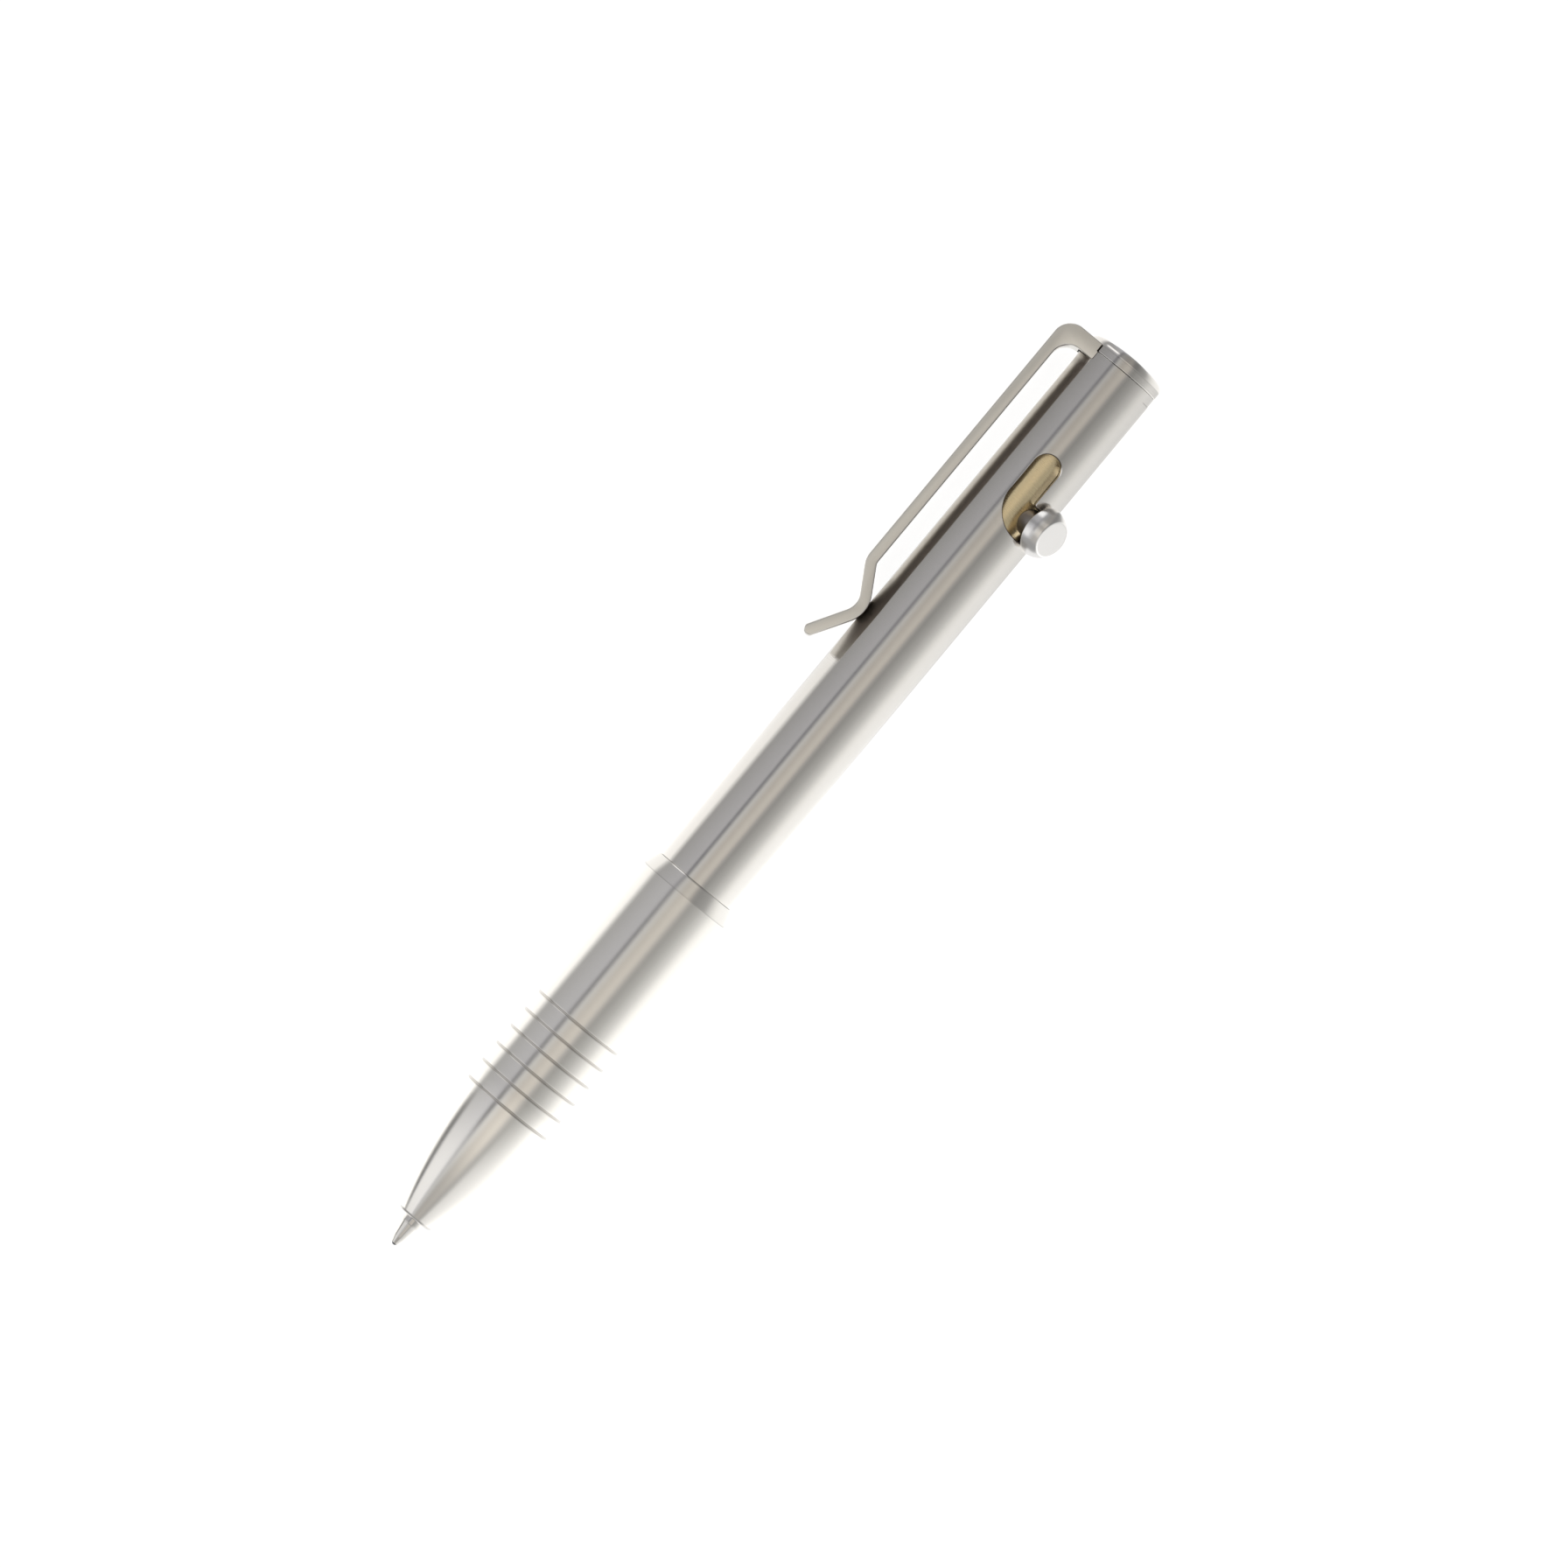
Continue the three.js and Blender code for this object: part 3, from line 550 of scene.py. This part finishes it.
def clip_outline():
    """The clip's side view as (reach from the axis, height) points."""
    arm = CLIP_REACH + CLIP_HALF
    bend = (arm - BEND_RADIUS, BEND_HEIGHT)
    slope = math.radians(BEND_ANGLE)
    climb = (arm - BEND_RADIUS * (1 - math.cos(slope))
             - CONTACT_REACH + CONTACT_RADIUS * math.cos(slope))
    contact = (CONTACT_REACH, bend[1] - climb / math.tan(slope)
               - (BEND_RADIUS + CONTACT_RADIUS) * math.sin(slope))
    lean = math.radians(TOE_ANGLE)
    start = (contact[0] - CONTACT_RADIUS * math.cos(lean),
             contact[1] - CONTACT_RADIUS * math.sin(lean))
    toe = (TOE_REACH, start[1] - (TOE_REACH - start[0]) / math.tan(lean))
    return [
        *arc(*toe, CLIP_HALF, TOE_ANGLE, TOE_ANGLE - 180, 12),
        *arc(*contact, CONTACT_RADIUS + CLIP_HALF, 180 + TOE_ANGLE, 180 - BEND_ANGLE, 24),
        *arc(*bend, BEND_RADIUS - CLIP_HALF, -BEND_ANGLE, 0, 10),
        *arc(CLIP_REACH - INNER_CORNER, TONGUE_BOTTOM - INNER_CORNER, INNER_CORNER, 0, 90, 16),
        (LEG_ROOT, TONGUE_BOTTOM),
        (LEG_ROOT, LEG_TOP),
        *arc(arm + CLIP_HALF - OUTER_CORNER, LEG_TOP - OUTER_CORNER, OUTER_CORNER, 90, 0, 16),
        *arc(*bend, BEND_RADIUS + CLIP_HALF, 0, -BEND_ANGLE, 12),
        *arc(*contact, CONTACT_RADIUS - CLIP_HALF, 180 - BEND_ANGLE, 180 + TOE_ANGLE, 20),
    ]


def plate(name, outline, thickness):
    """A flat bar from an outline in x and z, with its middle at y = 0."""
    bpy.ops.object.select_all(action="DESELECT")
    bpy.ops.mesh.primitive_circle_add(vertices=len(outline), radius=1, fill_type="NGON")
    piece = bpy.context.object
    piece.name = piece.data.name = name
    for vertex in piece.data.vertices:
        angle = math.atan2(vertex.co.y, vertex.co.x) % (2 * math.pi)
        x, z = outline[round(angle / (2 * math.pi) * len(outline)) % len(outline)]
        vertex.co = (x, -thickness / 2, z)
    bpy.ops.object.mode_set(mode="EDIT")
    bpy.ops.mesh.select_all(action="SELECT")
    bpy.ops.mesh.extrude_region_move(TRANSFORM_OT_translate={"value": (0, thickness, 0)})
    bpy.ops.mesh.select_all(action="SELECT")
    bpy.ops.mesh.remove_doubles(threshold=0.0005)
    bpy.ops.mesh.normals_make_consistent(inside=False)
    bpy.ops.object.mode_set(mode="OBJECT")
    return piece


def clip_inner_shade(place):
    """Painted shade on the clip's inner side, which faces the barrel: dark and duller, fading out
    towards the toe and the back.
    """
    normal = place.node("ShaderNodeTexCoord", {}, {}, "Normal")
    inner = normal.towards(knob_side).step(0.4, 0.8)
    inner = inner * reach(place, shown_side).step(-0.6, 2.8, 0.35, 1.0)
    return inner * reach_up(place).step(74.5, 80, 0.12, 1.0)


# painted shade on the clip's inner face, lighter towards the back
clip_titanium = metal("clip_titanium", (0.87, 0.845, 0.79, 1), 0.32, lines=0.05, spots=0.06,
                      shade=clip_inner_shade, shade_colour=(0.29, 0.255, 0.23, 1))


def rod(radius, foot, head, steps=256):
    """A round cutter on the pen's axis."""
    bpy.ops.object.select_all(action="DESELECT")
    bpy.ops.mesh.primitive_cylinder_add(vertices=steps, radius=radius, depth=head - foot,
                                        location=(0, 0, (foot + head) / 2))
    return bpy.context.object


clip = plate("clip_bar", [(-out, height) for out, height in clip_outline()], CLIP_WIDTH)
rounded(clip, CLIP_EDGE, 4, 50)
cut(clip, rod(BARREL_RADIUS + HOLLOW_GAP, BELOW_TOE, ABOVE_LEG))
cut(clip, rod(BARREL_RADIUS + HOLLOW_GAP + CAP_GAP, TONGUE_TOP, ABOVE_LEG))
tongue = rod(BARREL_RADIUS - TONGUE_GAP, TONGUE_BOTTOM, TONGUE_TOP)
flanks = block((CUT_ACROSS, TONGUE_WIDTH, ABOVE_TONGUE - BELOW_TONGUE),
               (0, 0, (ABOVE_TONGUE + BELOW_TONGUE) / 2))
cut(tongue, flanks, "INTERSECT")
cut(tongue, rod(CAP_HOLE_RADIUS, BELOW_TONGUE, ABOVE_TONGUE, 96))
root = block((ROOT_LENGTH, TONGUE_WIDTH, TONGUE_TOP - TONGUE_BOTTOM),
             (-ROOT_REACH, 0, (TONGUE_TOP + TONGUE_BOTTOM) / 2))
cut(tongue, root, "UNION")
tongue.name = tongue.data.name = "clip_tongue"
finished(clip, "barrel_body", "pocket_clip", clip_titanium, 40)
finished(tongue, "barrel_body", None, barrel_titanium, 40)


# The end cap: a crowned titanium disc, turned with a stud that screws into the barrel and holds
# the clip's tongue down. A fine seam shows between it and the barrel.
CAP_SEAT = 119.06
CAP_RIM = 119.86
CAP_TOP = 121.07
CROWN_RADIUS = 22
CAP_SHOULDER = 3.5
CAP_STUD_RADIUS = 1.5
CAP_STUD_FOOT = 115.46
STUD_CHAMFER = 0.12


def crown(radius):
    return CAP_TOP - CROWN_RADIUS + math.sqrt(CROWN_RADIUS ** 2 - radius ** 2)


cap_titanium = metal("cap_titanium", (0.79, 0.765, 0.73, 1), 0.1)
shoulder_rise = crown(CAP_SHOULDER) - CAP_RIM
cap_edge = [(CAP_SHOULDER + (BARREL_RADIUS - CAP_SHOULDER) * math.cos(math.radians(a)),
             CAP_RIM + shoulder_rise * math.sin(math.radians(a))) for a in range(0, 90, 5)]
crown_radii = [CAP_SHOULDER * (1 - i / 12) for i in range(13)]
cap = turned("cap_disc", [
    (0, CAP_STUD_FOOT), (CAP_STUD_RADIUS - STUD_CHAMFER, CAP_STUD_FOOT),
    (CAP_STUD_RADIUS, CAP_STUD_FOOT + STUD_CHAMFER), (CAP_STUD_RADIUS, CAP_SEAT),
    *arc(BARREL_RADIUS - SEAM_ROUND, CAP_SEAT + SEAM_ROUND, SEAM_ROUND, -90, 0, 4),
    *cap_edge, *[(radius, crown(radius)) for radius in crown_radii],
])
finished(cap, "barrel_body", "end_cap", cap_titanium)


# The bolt carrier: a slug of plain brass that runs in the barrel, with a socket for the refill's
# end and a tapped cross hole for the handle.
CARRIER_RADIUS = 3.55
CARRIER_FOOT = 90
CARRIER_TOP = 109.2
CARRIER_FOOT_ROUND, CARRIER_TOP_ROUND = 0.25, 0.35
REFILL_SOCKET_RADIUS = 2.95
REFILL_SOCKET_TOP = 94.55
HANDLE_HEIGHT = 100.22
HANDLE_HOLE_RADIUS = 1.55
HANDLE_HOLE_FOOT = -1.64    # from the pen's axis, on the far side
HANDLE_HOLE_END = 5         # past the carrier's surface


def pointed_out(piece):
    """Turns a piece that is drawn upright at the origin to stand out where the handle does."""
    sideways = Vector((math.cos(HANDLE_TURN), math.sin(HANDLE_TURN), 0))
    outward = Vector((math.sin(HANDLE_TURN), -math.cos(HANDLE_TURN), 0))
    turn = Matrix((sideways, outward.cross(sideways), outward)).transposed().to_4x4()
    piece.matrix_world = Matrix.Translation((0, 0, HANDLE_HEIGHT)) @ turn
    chosen(piece)
    bpy.ops.object.transform_apply(location=True, rotation=True, scale=True)
    return piece


brass = metal("turned_brass", (0.98, 0.82, 0.525, 1), 0.27, lines=0.2, spots=0.06)
carrier = turned("brass_slug", [
    (0, REFILL_SOCKET_TOP), (REFILL_SOCKET_RADIUS, REFILL_SOCKET_TOP),
    (REFILL_SOCKET_RADIUS, CARRIER_FOOT),
    *arc(CARRIER_RADIUS - CARRIER_FOOT_ROUND, CARRIER_FOOT + CARRIER_FOOT_ROUND,
         CARRIER_FOOT_ROUND, -90, 0, 4),
    *arc(CARRIER_RADIUS - CARRIER_TOP_ROUND, CARRIER_TOP - CARRIER_TOP_ROUND,
         CARRIER_TOP_ROUND, 0, 90, 4),
    (0, CARRIER_TOP),
], 192)
hole = [(0, HANDLE_HOLE_FOOT), (HANDLE_HOLE_RADIUS, HANDLE_HOLE_FOOT),
        (HANDLE_HOLE_RADIUS, HANDLE_HOLE_END), (0, HANDLE_HOLE_END)]
cut(carrier, pointed_out(turned("hole", hole, 64)))
finished(carrier, "bolt_body", "bolt_carrier", brass)


# The bolt handle: a threaded steel stud with a polished domed knob, faced flat at its end.
KNOB_RADIUS = 2.9
KNOB_FOOT = 5.5
KNOB_HEIGHT = 1.95
KNOB_TOP = KNOB_FOOT + KNOB_HEIGHT
KNOB_FOOT_RADIUS = 2.7
KNOB_FOOT_ROUND = 0.2
FLAT_RIM = ((2.165, 0.038), (2.12, 0.014), (2.06, 0.003), (1.98, 0))    # radius, and depth
STUD_RADIUS = 1.5
STUD_FOOT = -1.6
handle_side = knob_side * math.sin(HANDLE_TURN) + shown_side * math.cos(HANDLE_TURN)
# painted shade: the stud under the knob, below the knob's foot, is darkened towards reddish brown
# and dulled
polished_steel = metal("polished_steel", (0.85, 0.835, 0.82, 1), 0.24, lines=0.02, spots=0.02,
                       shade=lambda place: reach(place, handle_side).step(5.48, 5.3, 0.0, 0.6),
                       shade_colour=(0.30, 0.24, 0.21, 1))
flat_angle = math.degrees(math.asin(KNOB_HEIGHT / KNOB_RADIUS))
handle = pointed_out(turned("handle_knob", [
    (0, STUD_FOOT), (STUD_RADIUS - STUD_CHAMFER, STUD_FOOT),
    (STUD_RADIUS, STUD_FOOT + STUD_CHAMFER), (STUD_RADIUS, KNOB_FOOT),
    (KNOB_FOOT_RADIUS, KNOB_FOOT),
    *arc(KNOB_FOOT_RADIUS, KNOB_FOOT + KNOB_FOOT_ROUND, KNOB_FOOT_ROUND, -75, 0, 6)[:-1],
    *arc(0, KNOB_FOOT, KNOB_RADIUS, 4, flat_angle - 2, 24),
    *[(radius, KNOB_TOP - depth) for radius, depth in FLAT_RIM],
    (0, KNOB_TOP),
], 128))
finished(handle, "bolt_body", "bolt_handle", polished_steel)


# The refill: a drawn steel tube with a rounded shoulder and a narrow neck, closed at the rear by
# a notched black plastic plug. Its point is a turned cone, spun over at the front to hold the
# dark carbide ball that writes.
TIP_REACH = 3.59            # how far the ball stands out of the grip's mouth
TUBE_RADIUS = 2.9
TUBE_BORE = 2.55
TUBE_FLOOR = 11.11
SHOULDER = 10.41
SHOULDER_ROUND = 0.7
NECK_RADIUS = 1.5
NECK_ROUND = 0.12
NECK_HOLE = 0.865
NECK_FOOT = 5.31
NECK_CHAMFER = 0.05
CRIMP_HEIGHT = 90.55        # a faint ring that holds the plug
CRIMP_HALF, CRIMP_DEPTH = 0.15, 0.04
PLUG_SEAT = 92.51           # the tube's rear end, which the plug's rim rests on

refill_steel = metal("refill_steel", (0.78, 0.77, 0.75, 1), 0.22, lines=0.1, spots=0.02)
tube = turned("refill_steel_tube", [
    (NECK_HOLE, NECK_FOOT), (NECK_RADIUS - NECK_CHAMFER, NECK_FOOT),
    (NECK_RADIUS, NECK_FOOT + NECK_CHAMFER), (NECK_RADIUS, SHOULDER - NECK_ROUND),
    *arc(NECK_RADIUS + NECK_ROUND, SHOULDER - NECK_ROUND, NECK_ROUND, 180, 90, 4),
    *arc(TUBE_RADIUS - SHOULDER_ROUND, SHOULDER + SHOULDER_ROUND, SHOULDER_ROUND, -90, 0, 12),
    (TUBE_RADIUS, CRIMP_HEIGHT - CRIMP_HALF), (TUBE_RADIUS - CRIMP_DEPTH, CRIMP_HEIGHT),
    (TUBE_RADIUS, CRIMP_HEIGHT + CRIMP_HALF), (TUBE_RADIUS, PLUG_SEAT), (TUBE_BORE, PLUG_SEAT),
    (TUBE_BORE, TUBE_FLOOR), (NECK_HOLE, SHOULDER), (NECK_HOLE, NECK_FOOT),
], 128)
finished(tube, "refill_body", "refill_tube", refill_steel)

black_plastic = metal("black_plastic", (0.03, 0.03, 0.032, 1), 0.45, lines=0.0, spots=0.1)
PLUG_FOOT, PLUG_TOP = 89.55, 94.51
PLUG_RADIUS = 2.51
PLUG_TAPER = (0.11, 0.15)   # across and along, at its foot
PLUG_HOLE = 0.3
RIM_FOOT = 92.55
RIM_CHAMFER = 0.05
RIM_ROUND = 0.15
NOTCH_WIDTH = 0.9
NOTCH_DEPTH = 0.8
plug = turned("refill_end_plug", [
    (PLUG_HOLE, PLUG_FOOT), (PLUG_RADIUS - PLUG_TAPER[0], PLUG_FOOT),
    (PLUG_RADIUS, PLUG_FOOT + PLUG_TAPER[1]), (PLUG_RADIUS, RIM_FOOT),
    (TUBE_RADIUS - RIM_CHAMFER, RIM_FOOT), (TUBE_RADIUS, RIM_FOOT + RIM_CHAMFER),
    (TUBE_RADIUS, PLUG_TOP - RIM_ROUND - 0.01),
    *arc(TUBE_RADIUS - RIM_ROUND, PLUG_TOP - RIM_ROUND, RIM_ROUND, 0, 90, 4),
    (PLUG_HOLE, PLUG_TOP), (PLUG_HOLE, PLUG_FOOT),
], 96)
for i in range(3):
    notch = block((CUT_ACROSS, NOTCH_WIDTH, 2 * NOTCH_DEPTH), (0, 0, PLUG_TOP))
    notch.rotation_euler.z = math.pi * i / 3
    cut(plug, notch)
finished(plug, "refill_body", "refill_plug", black_plastic)

point_steel = metal("point_steel", (0.74, 0.72, 0.69, 1), 0.2, lines=0.15, spots=0.02)
BALL_RADIUS = 0.35
BALL_HEIGHT = BALL_RADIUS - TIP_REACH
CUP_RADIUS = 0.38           # of the hollow that the ball lies in
LIP_RADIUS = 0.36
LIP_ROUND = 0.04
POINT_CONE = ((0.72, 1.04 - TIP_REACH), (1.095, -0.75), (1.15, -0.71), (1.175, -0.64))
POINT_RADIUS = 1.175
POINT_SHOULDER = 5.27
STEM_RADIUS = 0.825
STEM_TOP = 10.37
INK_HOLE = 0.15
cup = arc(0, BALL_HEIGHT, CUP_RADIUS, 66.7, -20, 8)
lip = cup[-1][1]
point = turned("refill_point_cone", [
    (LIP_RADIUS, lip), *arc(CUP_RADIUS, lip + LIP_ROUND, LIP_ROUND, -60, -10, 3), *POINT_CONE,
    (POINT_RADIUS, POINT_SHOULDER), (STEM_RADIUS, POINT_SHOULDER), (STEM_RADIUS, STEM_TOP),
    (INK_HOLE, STEM_TOP), *cup, (LIP_RADIUS, lip),
], 128)
finished(point, "refill_body", "refill_point", point_steel)

carbide = metal("ground_carbide", (0.30, 0.30, 0.31, 1), 0.2, lines=0.0, spots=0.03)
ball = turned("ball", arc(0, BALL_HEIGHT, BALL_RADIUS, -90, 90, 24), 48)
finished(ball, "ball_body", "writing_ball", carbide)


# The return spring: bright steel wire between the grip's seat and the refill's shoulder, with a
# closed turn at each end.
WIRE = 0.4
SPRING_RADIUS = 1.95
SPRING_FOOT, SPRING_HEAD = 4.24, 10.17
SPRING_SEAT = 4             # height of the grip's shoulder that it stands on
CURLS = 8
CURL_STEPS = 48
WIRE_SIDES = 12
spring_steel = metal("spring_wire", (0.75, 0.75, 0.75, 1), 0.18, lines=0.05, spots=0.02)
rise = SPRING_HEAD - SPRING_FOOT
spring = wound("spring_wire", arc(SPRING_RADIUS, 0, WIRE / 2, 0, 360, WIRE_SIDES), SPRING_FOOT,
               rise / CURLS, CURLS, CURL_STEPS)
closed = 1.04 * WIRE        # rise of a closed turn, a little more than the wire
open_rise = (rise - 2 * closed) / (CURLS - 2)
for vertex in spring.data.vertices:
    turns = vertex.index // WIRE_SIDES / CURL_STEPS
    closed_turns = min(turns, 1) + max(turns - CURLS + 1, 0)
    height = closed * closed_turns + open_rise * (turns - closed_turns)
    vertex.co.z += height - rise * turns / CURLS
finished(spring, "spring_body", "return_spring", spring_steel, 50)
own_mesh(spring)


# The grip section: turned titanium, an ogive nose that runs into a straight grip with six narrow
# rounded grooves, and a shallow cone down to the barrel. It screws on the barrel's tenon.
GRIP_RADIUS = 5.57
GRIP_LENGTH = 47.42
NOSE_LENGTH = 17.5
MOUTH_RADIUS = 2.0
GROOVES = [15.76 + 2.38 * i for i in range(6)]
GROOVE_HALF = 0.2
GROOVE_DEPTH = 0.14
GROOVED_FROM, GROOVED_TO = 15.3, 28.2           # the grooved stretch, where the grooves are darkened
SOCKET_RADIUS = 4.35
SOCKET_SHOULDER = 40.82
SOCKET_THREAD_FOOT = 41.875
SOCKET_THREAD_CREST = 4.0
SOCKET_RIDGE_HALF = 0.26
GRIP_BORE = 3.1
SPRING_CHAMBER = 2.3        # radius of the bore round the spring
CHAMBER_TOP = 9
POINT_HOLE = 1.225
MOUTH_RIM = ((1.8, 0), (1.88, 0.02), (1.97, 0.1))
REAR_CONE = ((GRIP_RADIUS, 45.5), (5.56, 45.58), (5.535, 45.66), (5.03, 47.3), (4.99, 47.38),
             (4.95, GRIP_LENGTH))
drop = GRIP_RADIUS - MOUTH_RADIUS
OGIVE = (NOSE_LENGTH ** 2 + drop ** 2) / (2 * drop)


def grip_surface(height):
    if height >= NOSE_LENGTH:
        return GRIP_RADIUS
    return GRIP_RADIUS - OGIVE + math.sqrt(OGIVE ** 2 - (NOSE_LENGTH - height) ** 2)


def groove_darkening(place):
    """Darker in the grooves, by their depth under the grip's surface."""
    height = reach_up(place)
    to_nose = place.math("MAXIMUM", NOSE_LENGTH - height, 0)
    depth = GRIP_RADIUS - to_nose * to_nose / (2 * OGIVE) - axis_distance(place)
    grooved = between(height, GROOVED_FROM - 0.1, GROOVED_FROM + 0.1, GROOVED_TO - 0.1,
                      GROOVED_TO + 0.1)
    return depth.step(0.02, 0.09, 0.0, 0.3) * grooved


# lighter than the barrel's titanium, partly its own tone and partly painted light for light that
# falls off along the pen from the tip's end
grip_titanium = metal("grip_titanium", (0.875, 0.85, 0.81, 1), 0.18,
                      shade=groove_darkening, shade_colour=(0.33, 0.31, 0.29, 1))
first = 0.15                # height of the first ring above the mouth's rim
beside = 1.2 * GROOVE_HALF  # no ring of the nose comes closer to the middle of a groove
stations = [first + (NOSE_LENGTH - first) * i / 80 for i in range(81)]
outside = [(grip_surface(h), h) for h in stations if all(abs(h - g) > beside for g in GROOVES)]
for groove in GROOVES:
    for share in (-1.1, *(i / 8 for i in range(-8, 9)), 1.1):
        height = groove + share * GROOVE_HALF
        depth = GROOVE_DEPTH * math.cos(min(abs(share), 1) * math.pi / 2) ** 2
        outside.append((grip_surface(height) - depth, height))
outside.sort(key=lambda point: point[1])
grip = turned("grip_shell", [
    *MOUTH_RIM, *outside, *REAR_CONE, (SOCKET_RADIUS, GRIP_LENGTH),
    (SOCKET_RADIUS, SOCKET_SHOULDER), (GRIP_BORE, SOCKET_SHOULDER), (GRIP_BORE, CHAMBER_TOP),
    (SPRING_CHAMBER, CHAMBER_TOP), (SPRING_CHAMBER, SPRING_SEAT), (POINT_HOLE, SPRING_SEAT),
    (POINT_HOLE, 0), MOUTH_RIM[0],
])
finished(grip, "grip_body", "grip_section", grip_titanium, 40)

ridge_root = SOCKET_RADIUS + RIDGE_ROOTED
socket_thread = wound("grip_socket_thread", [
    (ridge_root, -SOCKET_RIDGE_HALF), (ridge_root, SOCKET_RIDGE_HALF),
    (SOCKET_THREAD_CREST, RIDGE_CREST_HALF), (SOCKET_THREAD_CREST, -RIDGE_CREST_HALF),
    (ridge_root, -SOCKET_RIDGE_HALF),
], SOCKET_THREAD_FOOT, THREAD_PITCH, THREAD_TURNS)
finished(socket_thread, "grip_body", None, grip_titanium, 20)
